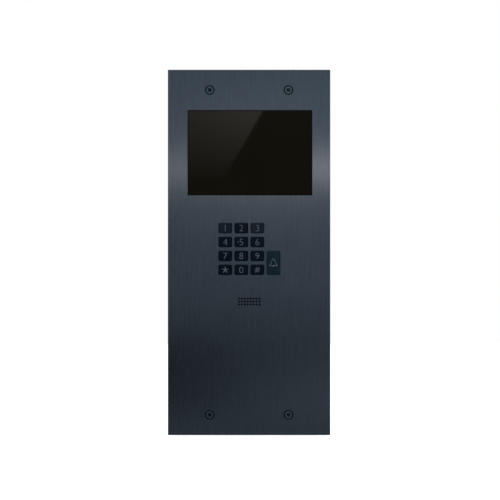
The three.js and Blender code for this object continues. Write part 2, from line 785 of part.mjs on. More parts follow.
/** Flat cable as a band of even thickness across X that follows [z, y] points. */
function flatCable(path, width, x) {
  const half = RIBBON.thickness / 2;
  const curve = new THREE.SplineCurve(path.map(([z, y]) => new THREE.Vector2(z, y)));
  const steps = 4 * (path.length - 1);
  const front = [];
  const back = [];
  for (let step = 0; step <= steps; step += 1) {
    const point = curve.getPoint(step / steps);
    const along = curve.getTangent(step / steps);
    front.push(new THREE.Vector2(point.x + along.y * half, point.y - along.x * half));
    back.unshift(new THREE.Vector2(point.x - along.y * half, point.y + along.x * half));
  }
  const band = new THREE.Shape([...front, ...back]);
  const geometry = new THREE.ExtrudeGeometry(band, { depth: width, bevelEnabled: false });
  const toCable = new THREE.Matrix4().makeBasis(
    new THREE.Vector3(0, 0, 1), new THREE.Vector3(0, 1, 0), new THREE.Vector3(-1, 0, 0),
  );
  geometry.applyMatrix4(toCable);
  geometry.translate(x + width / 2, 0, 0);
  return geometry;
}

const boardBottom = MAIN_BOARD.z - MAIN_BOARD.height / 2;
const clearance = GAP + RIBBON.thickness; // from a face to the middle of a cable that lies on it

/** From the back of the keypad board, round the lower edge of the main board, to its back. */
function keypadRibbon() {
  const { lap, lift } = RIBBON;
  const start = KEYPAD_BOARD.back + clearance;
  const end = MAIN_BOARD.back + clearance;
  return flatCable([
    [BACKPLATE.top - RIBBON_NOTCH.depth + lap, start],
    [BACKPLATE.top, start + 2 * lift],
    [boardBottom - 3 * lap, (start + end) / 2],
    [boardBottom - lap, end + 3 * lift],
    [boardBottom + lap, end + lift],
  ], RIBBON.width, KEYPAD.x);
}

addPiece('keypad_ribbon', keypadRibbon(), 'film');

export default station;
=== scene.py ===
"""Looks of the flush-mounted video intercom door station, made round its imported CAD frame.

Metres, in the frame's axes: +X right, +Z up, -Y towards the visitor. Lengths are written in
millimetres and multiplied by MM.
"""

import math

import bmesh
import bpy
from mathutils import Matrix, Vector


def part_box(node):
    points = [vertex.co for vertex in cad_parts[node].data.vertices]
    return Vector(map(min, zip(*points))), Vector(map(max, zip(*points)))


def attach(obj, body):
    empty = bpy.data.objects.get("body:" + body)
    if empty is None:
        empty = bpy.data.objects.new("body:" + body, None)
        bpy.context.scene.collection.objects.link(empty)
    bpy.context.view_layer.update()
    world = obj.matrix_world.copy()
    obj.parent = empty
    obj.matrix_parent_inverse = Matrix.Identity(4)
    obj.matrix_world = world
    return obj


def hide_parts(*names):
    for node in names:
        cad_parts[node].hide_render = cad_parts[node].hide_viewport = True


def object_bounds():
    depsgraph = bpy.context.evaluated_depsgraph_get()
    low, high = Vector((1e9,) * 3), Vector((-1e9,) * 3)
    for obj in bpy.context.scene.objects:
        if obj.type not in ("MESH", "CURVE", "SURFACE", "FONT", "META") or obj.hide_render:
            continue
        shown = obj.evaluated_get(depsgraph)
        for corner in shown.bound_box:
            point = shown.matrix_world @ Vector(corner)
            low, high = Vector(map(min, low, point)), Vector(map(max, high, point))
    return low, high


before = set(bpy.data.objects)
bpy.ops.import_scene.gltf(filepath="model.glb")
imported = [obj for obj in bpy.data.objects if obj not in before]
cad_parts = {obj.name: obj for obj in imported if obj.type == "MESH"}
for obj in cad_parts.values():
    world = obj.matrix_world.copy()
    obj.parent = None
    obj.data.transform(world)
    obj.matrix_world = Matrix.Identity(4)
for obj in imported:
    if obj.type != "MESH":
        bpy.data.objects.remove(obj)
cad_low, cad_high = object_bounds()

MM = 0.001

# ---------------------------------------------------------------- sizes that the frame doesn't hold

PLATE_THICKNESS = 3 * MM
PLATE_EDGE = 0.25 * MM  # broken edge of the plate and of its cut-outs
FIT = 0.3 * MM  # gap round the glass and the keys
KEY_FLANGE = 1 * MM  # how far a key's flange stands out round its cap
KEY_RADIUS = 1.2 * MM
PIP_RADIUS, PIP_RISE, PIP_ASIDE = 0.65 * MM, 0.25 * MM, 3.4 * MM
LEGEND_HEIGHT = 7 * MM
LEGEND_RISE, LEGEND_DEPTH = 0.015 * MM, 0.08 * MM  # in front of the key's face, and in all
STROKE_STEP = 0.002 * MM  # each stroke of a mark lies this much in front of the one before
LEGEND_THINNING = -0.021  # in letter heights: takes weight off the built-in font
GRILLE_COLUMNS, GRILLE_ROWS = 8, 3
GRILLE_PITCH = 3.25 * MM
GRILLE_RADIUS = 1.12 * MM  # 0.07 mm more than in the CAD, so that the holes read as dark
GRILLE_X, GRILLE_Z = 0.2 * MM, -54.4 * MM
COUNTERSINK_RADIUS = 5.4 * MM
SCREW_HOLE_RADIUS = 2.85 * MM
SOCKET_RADIUS, SOCKET_LOBE, SOCKET_LOBES, SOCKET_DEPTH = 2.2 * MM, 0.25 * MM, 6, 2 * MM
PIN_RADIUS, PIN_SUNK = 0.7 * MM, 0.7 * MM
SCREW_FACE_RADIUS, SCREW_HEAD_RADIUS, SCREW_SHANK_RADIUS = 3.95 * MM, 4.7 * MM, 2.5 * MM
SCREW_DROP = 0.6 * MM  # from the screw's face down its rounded rim
SCREW_POINT = 1 * MM
BOX_WALL = 1.5 * MM
BOX_BEND = 2.5 * MM  # outer radius of the folds round its rear
FIXING_HOLE_RADIUS = 2.5 * MM
FIXING_HOLE_X, FIXING_HOLE_Z = 55 * MM, 150 * MM
KNOCK_OUT_RADIUS = 10 * MM
GROOVE = 0.9 * MM  # width and depth of the groove round a knock-out
ENTRY_RADIUS = 11 * MM
GROMMET_BORE = 5 * MM
FRAME_OPENING_WIDTH, FRAME_OPENING_HEIGHT = 149.8 * MM, 349 * MM
RIVET_NUT_RADIUS = 3.5 * MM
GASKET_OPENING_WIDTH, GASKET_OPENING_HEIGHT = 158 * MM, 386 * MM
STUD_RADIUS = 1.5 * MM
THREAD_PITCH, THREAD_DEPTH = 0.5 * MM, 0.15 * MM
PAST = 1 * MM  # how far a cutting piece runs past the face it cuts
SHARPEST = 0.05 * MM  # smallest corner radius of an inset outline

KEYS = ["1", "2", "3", "4", "5", "6", "7", "8", "9", "star", "0", "hash", "bell"]
CORNERS = ["top_left", "top_right", "bottom_left", "bottom_right"]


# ---------------------------------------------------------------- mesh building

def box_of(node):
    low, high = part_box(node)
    return Vector(low), Vector(high)


def centre_of(node):
    low, high = box_of(node)
    return (low + high) / 2


def size_of(node):
    low, high = box_of(node)
    return high - low


def rounded(width, height, radius, centre=(0, 0), steps=6):
    """Rectangle with round corners as (x, z) points, anticlockwise seen from the front."""
    points = []
    corners = [(1, -1, -90), (1, 1, 0), (-1, 1, 90), (-1, -1, 180)]
    for right, up, start in corners:
        x = centre[0] + right * (width / 2 - radius)
        z = centre[1] + up * (height / 2 - radius)
        for step in range(steps + 1):
            angle = math.radians(start + 90 * step / steps)
            points.append((x + radius * math.cos(angle), z + radius * math.sin(angle)))
    return points


def circle(radius, centre=(0, 0), steps=32):
    turn = 2 * math.pi / steps
    return [
        (centre[0] + radius * math.cos(turn * i), centre[1] + radius * math.sin(turn * i))
        for i in range(steps)
    ]


def bridge(bm, rings, closed=False):
    """Faces between rings of points, capped unless closed; a ring of one point is the tip of a fan."""
    loops = [[bm.verts.new(point) for point in ring] for ring in rings]
    pairs = list(zip(loops, loops[1:]))
    if closed:
        pairs.append((loops[-1], loops[0]))
    for one, other in pairs:
        count = max(len(one), len(other))
        for i in range(count):
            j = (i + 1) % count
            corners = [
                one[i % len(one)], one[j % len(one)],
                other[j % len(other)], other[i % len(other)],
            ]
            bm.faces.new(list(dict.fromkeys(corners)))
    if not closed:
        for end in (loops[0], loops[-1]):
            if len(end) > 2:
                bm.faces.new(end)


def add_rounded(bm, profile, width, height, radius, centre, steps=6):
    """Rounded rectangle drawn through [inset, y] pairs, as a turned piece is through [radius, y]."""
    rings = []
    for inset, y in profile:
        corner = max(radius - inset, SHARPEST)
        loop = rounded(width - 2 * inset, height - 2 * inset, corner, centre, steps)
        rings.append([(x, y, z) for x, z in loop])
    bridge(bm, rings)


def add_turned(bm, profile, centre, closed=False, steps=48):
    """Piece turned about a line along Y through centre (x, z), from [radius, y] pairs."""
    rings = []
    for radius, y in profile:
        if radius == 0:
            rings.append([(centre[0], y, centre[1])])
        else:
            rings.append([(x, y, z) for x, z in circle(radius, centre, steps)])
    bridge(bm, rings, closed)


def round_edge(radius, y, steps=3):
    """Profile points [inset, y] of a rounded edge, from the front face at y to the side wall."""
    points = []
    for step in range(steps + 1):
        angle = math.pi / 2 * step / steps
        points.append((radius * (1 - math.sin(angle)), y + radius * (1 - math.cos(angle))))
    return points


def mesh_from(bm, name):
    bmesh.ops.remove_doubles(bm, verts=bm.verts, dist=1e-7)
    bmesh.ops.recalc_face_normals(bm, faces=bm.faces)
    mesh = bpy.data.meshes.new(name)
    bm.to_mesh(mesh)
    bm.free()
    return mesh


def shade(mesh, angle=35):
    """Smooth shading round bends and bevels, while faces square to an axis stay exactly flat."""
    mesh.set_sharp_from_angle(angle=math.radians(angle))
    for face in mesh.polygons:
        face.use_smooth = max(abs(value) for value in face.normal) < 0.999


def new_piece(name, mesh, *materials, nodes, slot, body="panel", angle=35):
    """Adds a shown object that rides on a body and stands for CAD nodes."""
    shade(mesh, angle)
    piece = bpy.data.objects.new(name, mesh)
    bpy.context.scene.collection.objects.link(piece)
    for material in materials:
        mesh.materials.append(material)
    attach(piece, body)
    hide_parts(*nodes)
    return piece


def evaluated_mesh(thing, name):
    """A mesh copy of a curve, text or modified object, which is then removed."""
    bpy.context.view_layer.update()
    shown = thing.evaluated_get(bpy.context.evaluated_depsgraph_get())
    mesh = bpy.data.meshes.new_from_object(shown)
    mesh.name = name
    bpy.data.objects.remove(thing)
    return mesh


def outlined_mesh(name, loops, front, back, edge):
    """Flat plate with holes and softened edges; the loops are (x, z) points."""
    curve = bpy.data.curves.new(name, "CURVE")
    curve.dimensions = "2D"
    curve.fill_mode = "BOTH"
    curve.extrude = (back - front) / 2 - edge
    curve.bevel_depth = edge
    curve.bevel_resolution = 2
    curve.offset = -edge
    for loop in loops:
        spline = curve.splines.new("POLY")
        spline.points.add(len(loop) - 1)
        for point, (x, z) in zip(spline.points, loop):
            point.co = (x, z, 0, 1)
        spline.use_cyclic_u = True
    outline = bpy.data.objects.new(name, curve)
    bpy.context.scene.collection.objects.link(outline)
    mesh = evaluated_mesh(outline, name)
    middle = Matrix.Translation((0, (front + back) / 2, 0))
    mesh.transform(middle @ Matrix.Rotation(math.pi / 2, 4, "X"))
    return mesh


def cut_mesh(mesh, tools, name):
    """The mesh with each tool mesh subtracted from it."""
    body = bpy.data.objects.new(name, mesh)
    bpy.context.scene.collection.objects.link(body)
    cutters = []
    for tool in tools:
        cutter = bpy.data.objects.new("cutter", tool)
        bpy.context.scene.collection.objects.link(cutter)
        modifier = body.modifiers.new("cut", "BOOLEAN")
        modifier.operation = "DIFFERENCE"
        modifier.solver = "EXACT"
        modifier.object = cutter
        cutters.append(cutter)
    result = evaluated_mesh(body, name)
    for cutter in cutters:
        bpy.data.objects.remove(cutter)
    return result


def joined_mesh(meshes, name):
    bm = bmesh.new()
    for mesh in meshes:
        bm.from_mesh(mesh)
    result = bpy.data.meshes.new(name)
    bm.to_mesh(result)
    bm.free()
    return result


# ---------------------------------------------------------------- materials

def link(material, source, target):
    material.node_tree.links.new(source, target)


def add_node(material, kind, **inputs):
    node = material.node_tree.nodes.new(kind)
    for name, value in inputs.items():
        node.inputs[name.replace("_", " ")].default_value = value
    return node


def new_material(name, roughness=0.5, metallic=0.0, specular=0.5):
    """Material with a Principled shader; its colour is linked in later."""
    material = bpy.data.materials.new(name)
    material.use_nodes = True
    shader = material.node_tree.nodes["Principled BSDF"]
    shader.inputs["Roughness"].default_value = roughness
    shader.inputs["Metallic"].default_value = metallic
    shader.inputs["Specular IOR Level"].default_value = specular
    return material, shader


def pattern(material, scale, detail=3, roughness=0.5):
    """Noise value over the piece; scale is in features per metre along X, Y and Z."""
    place = add_node(material, "ShaderNodeTexCoord")
    mapping = add_node(material, "ShaderNodeMapping", Scale=scale)
    noise = add_node(material, "ShaderNodeTexNoise", Scale=1, Detail=detail, Roughness=roughness)
    link(material, place.outputs["Object"], mapping.inputs["Vector"])
    link(material, mapping.outputs["Vector"], noise.inputs["Vector"])
    return noise.outputs["Fac"]


def spread(material, value, low, high, start=0.3, end=0.7):
    """Maps a noise value, most of which lies between start and end, to low..high."""
    node = add_node(
        material, "ShaderNodeMapRange",
        From_Min=start, From_Max=end, To_Min=low, To_Max=high,
    )
    link(material, value, node.inputs["Value"])
    return node.outputs["Result"]


# Places of a Mix node's first input, second input and output, which share names between types.
COLOUR_ONE, COLOUR_OTHER, COLOUR_RESULT = 6, 7, 2
FLOAT_ONE, FLOAT_OTHER, FLOAT_RESULT = 2, 3, 0


def blend_colours(material, factor, one, other):
    node = add_node(material, "ShaderNodeMix")
    node.data_type = "RGBA"
    node.inputs[COLOUR_ONE].default_value = (*one, 1)
    node.inputs[COLOUR_OTHER].default_value = (*other, 1)
    link(material, factor, node.inputs["Factor"])
    return node.outputs[COLOUR_RESULT]


def sum_of(material, one, other, weight=0.5):
    """one * (1 - weight) + other * weight"""
    node = add_node(material, "ShaderNodeMix")
    node.data_type = "FLOAT"
    node.inputs["Factor"].default_value = weight
    link(material, one, node.inputs[FLOAT_ONE])
    link(material, other, node.inputs[FLOAT_OTHER])
    return node.outputs[FLOAT_RESULT]


def add_bump(material, shader, value, height, strength=1.0):
    bump = add_node(material, "ShaderNodeBump", Strength=strength, Distance=height)
    link(material, value, bump.inputs["Height"])
    link(material, bump.outputs["Normal"], shader.inputs["Normal"])


STREAKS = (600, 600, 22)  # features per metre along X, Y and Z
FINE_LINES = (3200, 3200, 110)


def brushed_metal(name, dark, light, roughness, anisotropy):
    """Metal brushed along Z: long streaks, fine lines and highlights drawn out sideways."""
    material, shader = new_material(name, roughness, metallic=1.0)
    streaks = pattern(material, STREAKS, detail=4, roughness=0.65)
    lines = pattern(material, FINE_LINES, detail=2)
    both = sum_of(material, streaks, lines, 0.4)
    colour = blend_colours(material, spread(material, both, 0, 1, 0.36, 0.64), dark, light)
    link(material, colour, shader.inputs["Base Color"])
    shine = spread(material, lines, roughness - 0.05, roughness + 0.05)
    link(material, shine, shader.inputs["Roughness"])
    shader.inputs["Anisotropic"].default_value = anisotropy
    tangent = add_node(material, "ShaderNodeTangent")
    tangent.direction_type = "RADIAL"
    tangent.axis = "Z"
    link(material, tangent.outputs["Tangent"], shader.inputs["Tangent"])
    add_bump(material, shader, both, 0.006 * MM, 0.5)
    return material


def speckled(name, dark, light, roughness, scale, height, metallic=0.0, specular=0.5):
    """Plastic, rubber, foam or cast surface: two close tones and a fine relief."""
    material, shader = new_material(name, roughness, metallic, specular)
    grain = pattern(material, (scale, scale, scale), detail=4)
    colour = blend_colours(material, spread(material, grain, 0, 1), dark, light)
    link(material, colour, shader.inputs["Base Color"])
    shine = spread(material, grain, roughness - 0.06, roughness + 0.06)
    link(material, shine, shader.inputs["Roughness"])
    add_bump(material, shader, grain, height, 0.6)
    return material


def galvanised(name):
    """Zinc-coated sheet: crystals of slightly different grey and shine."""
    material, shader = new_material(name, 0.42, metallic=1.0)
    place = add_node(material, "ShaderNodeTexCoord")
    cells = add_node(material, "ShaderNodeTexVoronoi", Scale=150)
    cells.feature = "SMOOTH_F1"
    cells.inputs["Smoothness"].default_value = 0.35
    link(material, place.outputs["Object"], cells.inputs["Vector"])
    tone = add_node(material, "ShaderNodeSeparateColor")
    link(material, cells.outputs["Color"], tone.inputs["Color"])
    cloud = pattern(material, (30, 30, 30), 4)
    both = sum_of(material, tone.outputs["Red"], cloud, 0.45)
    tones = spread(material, both, 0, 1, 0.2, 0.8)
    colour = blend_colours(material, tones, (0.40, 0.42, 0.43), (0.53, 0.55, 0.56))
    link(material, colour, shader.inputs["Base Color"])
    link(material, spread(material, both, 0.34, 0.5, 0.2, 0.8), shader.inputs["Roughness"])
    add_bump(material, shader, pattern(material, (900, 900, 900), 3), 0.01 * MM, 0.4)
    return material


def smoked_glass(name):
    """Opaque stand-in for smoked glass: a dark brown surface with a clear reflection."""
    material, shader = new_material(name, 0.03, specular=0.1)
    film = pattern(material, (14, 14, 14), 3)
    tones = spread(material, film, 0, 1)
    colour = blend_colours(material, tones, (0.0030, 0.0022, 0.0006), (0.0037, 0.0028, 0.0009))
    link(material, colour, shader.inputs["Base Color"])
    link(material, spread(material, film, 0.02, 0.035), shader.inputs["Roughness"])
    return material


plate_metal = brushed_metal("plate_metal", (0.085, 0.112, 0.148), (0.115, 0.142, 0.18), 0.32, 0.9)
# Far darker than the plate metal: painted shade on the walls of grille holes and countersinks and on
# the screws' rounded rims.
hole_shade_metal = speckled(
    "hole_shade_metal", (0.008, 0.014, 0.022), (0.015, 0.024, 0.034), 0.5, 900, 0.004 * MM, metallic=1.0,
)
dark_key = brushed_metal("dark_key", (0.004, 0.008, 0.016), (0.01, 0.017, 0.028), 0.36, 0.6)
# Lighter copy of the key metal for keys 1 and 3: painted reflection.
sheen_key_metal = brushed_metal("sheen_key_metal", (0.009, 0.015, 0.026), (0.023, 0.029, 0.041), 0.38, 0.6)
# The bell key's metal is lighter than that of the other keys: painted reflection.
bell_metal = brushed_metal("bell_metal", (0.011, 0.025, 0.038), (0.024, 0.044, 0.059), 0.38, 0.6)
screw_metal = speckled(
    "screw_metal", (0.062, 0.1, 0.125), (0.085, 0.12, 0.145), 0.35, 900, 0.004 * MM, metallic=1.0,
)
# Darker than the screw metal: painted shade in the screw's socket.
recess_shade_metal = speckled(
    "recess_shade_metal", (0.012, 0.022, 0.03), (0.02, 0.034, 0.043), 0.45, 900, 0.004 * MM, metallic=1.0,
)
legend_paint = speckled(
    "legend_paint", (0.045, 0.056, 0.068), (0.07, 0.082, 0.097), 0.6, 2500, 0.002 * MM,
)
glass_black = smoked_glass("glass_black")
zinc_sheet = galvanised("zinc_sheet")
zinc_part = speckled(
    "zinc_part", (0.42, 0.43, 0.42), (0.58, 0.58, 0.55), 0.38, 700, 0.006 * MM, metallic=1.0,
)
steel_part = speckled(
    "steel_part", (0.5, 0.51, 0.52), (0.62, 0.63, 0.64), 0.28, 500, 0.004 * MM, metallic=1.0,
)
foam_black = speckled(
    "foam_black", (0.008, 0.008, 0.009), (0.028, 0.028, 0.03), 0.92, 2600, 0.12 * MM, specular=0.2,
)
cloth_black = speckled(
    "cloth_black", (0.001, 0.001, 0.0015), (0.004, 0.004, 0.005), 0.95, 4000, 0.05 * MM, specular=0.1,
)
rubber_black = speckled(
    "rubber_black", (0.012, 0.012, 0.013), (0.024, 0.024, 0.025), 0.7, 1500, 0.02 * MM, specular=0.3,
)
silicone_grey = speckled(
    "silicone_grey", (0.22, 0.24, 0.25), (0.29, 0.31, 0.32), 0.62, 800, 0.01 * MM,
)
plastic_black = speckled(
    "plastic_black", (0.012, 0.012, 0.013), (0.022, 0.022, 0.024), 0.5, 1400, 0.015 * MM,
)
plastic_grey = speckled(
    "plastic_grey", (0.08, 0.085, 0.09), (0.12, 0.125, 0.13), 0.5, 1400, 0.015 * MM,
)
plastic_green = speckled(
    "plastic_green", (0.02, 0.15, 0.055), (0.035, 0.21, 0.085), 0.45, 900, 0.01 * MM,
)
plastic_blue = speckled(
    "plastic_blue", (0.015, 0.08, 0.28), (0.025, 0.12, 0.36), 0.35, 700, 0.006 * MM,
)
board_green = speckled(
    "board_green", (0.008, 0.075, 0.028), (0.02, 0.14, 0.055), 0.4, 260, 0.01 * MM,
)
cable_film = speckled("cable_film", (0.36, 0.2, 0.06), (0.5, 0.3, 0.1), 0.4, 600, 0.01 * MM)
screen_off = speckled(
    "screen_off", (0.002, 0.002, 0.003), (0.005, 0.005, 0.006), 0.25, 120, 0.001 * MM,
)
cone_paper = speckled(
    "cone_paper", (0.018, 0.018, 0.02), (0.045, 0.045, 0.048), 0.85, 1800, 0.05 * MM,
)


# ---------------------------------------------------------------- front plate

plate_low, plate_high = box_of("front_plate")
plate_front = plate_low.y
plate_back = plate_front + PLATE_THICKNESS


def cut_out(node, margin, radius):
    """Loop round a node that passes through the plate; margin is added on each side."""
    middle, size = centre_of(node), size_of(node)
    return rounded(size.x + 2 * margin, size.z + 2 * margin, radius, (middle.x, middle.z))


def grille_centres():
    for row in range(GRILLE_ROWS):
        for column in range(GRILLE_COLUMNS):
            x = GRILLE_X + (column - (GRILLE_COLUMNS - 1) / 2) * GRILLE_PITCH
            z = GRILLE_Z + (row - (GRILLE_ROWS - 1) / 2) * GRILLE_PITCH
            yield x, z


def drill_mesh():
    """Everything that is drilled out of the plate: grille holes and countersinks."""
    cone_end = plate_front + COUNTERSINK_RADIUS - SCREW_HOLE_RADIUS
    bm = bmesh.new()
    for centre in grille_centres():
        ends = [(GRILLE_RADIUS, plate_front - PAST), (GRILLE_RADIUS, plate_back + PAST)]
        add_turned(bm, ends, centre, steps=20)
    for corner in CORNERS:
        middle = centre_of(f"front_screw_{corner}")
        add_turned(bm, [
            (COUNTERSINK_RADIUS + PAST, plate_front - PAST),
            (SCREW_HOLE_RADIUS, cone_end),
            (SCREW_HOLE_RADIUS, plate_back + PAST),
        ], (middle.x, middle.z))
    return mesh_from(bm, "drills")


def stud_mesh(nut):
    """Threaded stud from the back of the plate through a nut."""
    middle, end = centre_of(nut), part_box(nut)[1][1] + 0.5 * MM
    profile = [(STUD_RADIUS, plate_back - 0.2 * MM)]
    y = plate_back + 1 * MM
    while y < end - THREAD_PITCH:
        profile += [(STUD_RADIUS, y), (STUD_RADIUS - THREAD_DEPTH, y + THREAD_PITCH / 2)]
        y += THREAD_PITCH
    profile += [(STUD_RADIUS, y), (STUD_RADIUS - 0.3 * MM, end)]
    bm = bmesh.new()
    add_turned(bm, profile, (middle.x, middle.z), steps=16)
    return mesh_from(bm, "stud")


def paint_hole_shade(mesh):
    """Gives the second material slot, a dark metal that paints shade, to the walls of grille holes and
    countersinks.
    """
    holes = [(centre, GRILLE_RADIUS) for centre in grille_centres()]
    for corner in CORNERS:
        middle = centre_of(f"front_screw_{corner}")
        holes.append(((middle.x, middle.z), COUNTERSINK_RADIUS))
    for face in mesh.polygons:
        if abs(face.normal.y) > 0.9:
            continue
        for (x, z), radius in holes:
            if math.hypot(face.center.x - x, face.center.z - z) < radius + 0.1 * MM:
                face.material_index = 1


def make_plate():
    size = plate_high - plate_low
    middle = (plate_low + plate_high) / 2
    loops = [rounded(size.x, size.z, 0.6 * MM, (middle.x, middle.z), 3)]
    loops.append(cut_out("display_glass", FIT, 1.3 * MM))
    for key in KEYS:
        loops.append(cut_out(f"key_{key}", FIT - KEY_FLANGE, KEY_RADIUS + FIT))
    mesh = outlined_mesh("plate", loops, plate_front, plate_back, PLATE_EDGE)
    mesh = cut_mesh(mesh, [drill_mesh()], "plate")
    paint_hole_shade(mesh)
    nuts = [f"{kind}_nut_{corner}" for kind in ("carrier", "backplate") for corner in CORNERS]
    studs = [stud_mesh(nut) for nut in nuts]
    mesh = joined_mesh([mesh, *studs], "plate")
    new_piece("plate", mesh, plate_metal, hole_shade_metal, nodes=["front_plate"], slot="plate_metal")


def make_grille_cloth():
    """Black dust cloth on the back of the plate, behind the grille holes."""
    margin, thickness, radius = 2.4 * MM, 0.1 * MM, 1 * MM
    width = (GRILLE_COLUMNS - 1) * GRILLE_PITCH + 2 * (GRILLE_RADIUS + margin)
    height = (GRILLE_ROWS - 1) * GRILLE_PITCH + 2 * (GRILLE_RADIUS + margin)
    front = plate_back + 0.05 * MM
    bm = bmesh.new()
    profile = [(0, front), (0, front + thickness)]
    add_rounded(bm, profile, width, height, radius, (GRILLE_X, GRILLE_Z))
    mesh = mesh_from(bm, "grille_cloth")
    new_piece("grille_cloth", mesh, cloth_black, nodes=[], slot="foam")


make_plate()
make_grille_cloth()


# ---------------------------------------------------------------- glass

def make_glass():
    low, high = box_of("display_glass")
    middle, size = (low + high) / 2, high - low
    bm = bmesh.new()
    edge = 0.35 * MM
    profile = round_edge(edge, low.y)
    profile += [(0, high.y - edge), (edge, high.y)]
    add_rounded(bm, profile, size.x, size.z, 1 * MM, (middle.x, middle.z))
    mesh = mesh_from(bm, "glass_pane")
    new_piece("glass_pane", mesh, glass_black, nodes=["display_glass"], slot="black_glass")


make_glass()


# ---------------------------------------------------------------- keys

def text_mesh(text, height):
    """Thin solid figure of the given height, centred on the origin, with its front at y = 0."""
    curve = bpy.data.curves.new("legend", "FONT")
    curve.body = text
    curve.resolution_u = 4
    curve.offset = LEGEND_THINNING
    curve.extrude = 0.5
    thing = bpy.data.objects.new("legend", curve)
    bpy.context.scene.collection.objects.link(thing)
    mesh = evaluated_mesh(thing, "legend")
    xs = [vertex.co.x for vertex in mesh.vertices]
    ys = [vertex.co.y for vertex in mesh.vertices]
    scale = height / (max(ys) - min(ys))
    front = Vector(((max(xs) + min(xs)) / 2, (max(ys) + min(ys)) / 2, curve.extrude))
    size = Matrix.Diagonal((scale, scale, LEGEND_DEPTH / (2 * curve.extrude), 1))
    mesh.transform(Matrix.Rotation(math.pi / 2, 4, "X") @ size @ Matrix.Translation(-front))
    return mesh


def stroke_mesh(strokes, name):
    """Mark made of thin bars (x1, z1, width1, x2, z2, width2), with its front at about y = 0."""
    bm = bmesh.new()
    for i, (x1, z1, width1, x2, z2, width2) in enumerate(strokes):
        along = Vector((x2 - x1, 0, z2 - z1)).normalized()
        side = Vector((along.z, 0, -along.x))
        start, end = Vector((x1, -i * STROKE_STEP, z1)), Vector((x2, -i * STROKE_STEP, z2))
        front = [
            start + side * width1 / 2, end + side * width2 / 2,
            end - side * width2 / 2, start - side * width1 / 2,
        ]
        back = [corner + Vector((0, LEGEND_DEPTH, 0)) for corner in front]
        bridge(bm, [front, back])
    return mesh_from(bm, name)


def star_mesh():
    """Five arms that narrow outwards."""
    reach, wide, thin = 3.7 * MM, 1.0 * MM, 0.55 * MM
    strokes = []
    for arm in range(5):
        angle = math.pi / 2 + arm * 2 * math.pi / 5
        strokes.append((0, 0, wide, reach * math.cos(angle), reach * math.sin(angle), thin))
    return stroke_mesh(strokes, "star")


def hash_mesh():
    """Two leaning uprights and two bars."""
    half, lean, apart, line = 3.1 * MM, 0.8 * MM, 1.1 * MM, 0.5 * MM
    bar = 2.7 * MM
    strokes = []
    for side in (-apart, apart):
        strokes.append((side - lean, -half, line, side + lean, half, line))
        strokes.append((-bar, side, line, bar, side, line))
    return stroke_mesh(strokes, "hash")


def bell_mesh():
    """Bell drawn in outline: narrow crown, flared skirt, mouth line and clapper."""
    crown, shoulder, skirt, lip = 0.75 * MM, 2.2 * MM, 3.1 * MM, 4.4 * MM
    top, low, mouth = 4.4 * MM, -1.6 * MM, -3.0 * MM
    line = 0.48 * MM
    strokes = [
        (-crown, top, line, crown, top, line),
        (-lip, mouth, line, lip, mouth, line),
        (-1.1 * MM, mouth - 0.9 * MM, line, 1.1 * MM, mouth - 0.9 * MM, line),
        (0, mouth, 1.6 * MM, 0, mouth - 0.9 * MM, 1.1 * MM),
    ]
    for side in (-1, 1):
        corners = [(crown, top), (shoulder, 1.2 * MM), (skirt, low), (lip, mouth)]
        for (x1, z1), (x2, z2) in zip(corners, corners[1:]):
            strokes.append((side * x1, z1, line, side * x2, z2, line))
    return stroke_mesh(strokes, "bell")


def legend_mesh(key):
    drawn = {"star": star_mesh, "hash": hash_mesh, "bell": bell_mesh}
    return drawn[key]() if key in drawn else text_mesh(key, LEGEND_HEIGHT)


def add_mesh(bm, mesh, offset, slot):
    """Copies a mesh into bm, moved by offset, with the given material slot."""
    before = set(bm.faces)
    mesh.transform(Matrix.Translation(offset))
    bm.from_mesh(mesh)
    for face in set(bm.faces) - before:
        face.material_index = slot


def add_pip(bm, place):
    """Raised dot beside the middle key's figure."""
    shape = [(1, -0.1), (1, 0.4), (0.6, 0.85), (0, 1)]
    profile = [(PIP_RADIUS * out, place.y - PIP_RISE * up) for out, up in shape]
    before = set(bm.faces)
    add_turned(bm, profile, (place.x, place.z), steps=20)
    for face in set(bm.faces) - before:
        face.material_index = 1


def make_key(key, metal):
    node = f"key_{key}"
    low, high = box_of(node)
    middle = centre_of(node)
    width = high.x - low.x - 2 * KEY_FLANGE
    height = high.z - low.z - 2 * KEY_FLANGE
    flange_front = plate_back + FIT
    flange_back = flange_front + 1 * MM
    crown = 0.3 * MM
    face = low.y + PIP_RISE
    profile = round_edge(crown, face)
    profile += [
        (0, flange_front), (-KEY_FLANGE, flange_front), (-KEY_FLANGE, flange_back), (0, flange_back),
    ]
    bm = bmesh.new()
    add_rounded(bm, profile, width, height, KEY_RADIUS, (middle.x, middle.z), steps=5)
    stem = 2.5 * MM
    add_turned(
        bm, [(stem, flange_back - 0.2 * MM), (stem, high.y - FIT), (stem - FIT, high.y), (0, high.y)],
        (middle.x, middle.z), steps=24,
    )
    bmesh.ops.recalc_face_normals(bm, faces=bm.faces)
    add_mesh(bm, legend_mesh(key), Vector((middle.x, face - LEGEND_RISE, middle.z)), 1)
    if key == "5":
        add_pip(bm, Vector((middle.x - PIP_ASIDE, face, middle.z)))
    mesh = bpy.data.meshes.new(f"cap_{key}")
    bm.to_mesh(mesh)
    bm.free()
    new_piece(f"cap_{key}", mesh, metal, legend_paint, nodes=[node], slot="key_metal", body=node)


# Keys 1, 3 and the bell take lighter metals than the rest: painted reflection.
KEY_METALS = {"1": sheen_key_metal, "3": sheen_key_metal, "bell": bell_metal}
for key in KEYS:
    make_key(key, KEY_METALS.get(key, dark_key))


# ---------------------------------------------------------------- screws

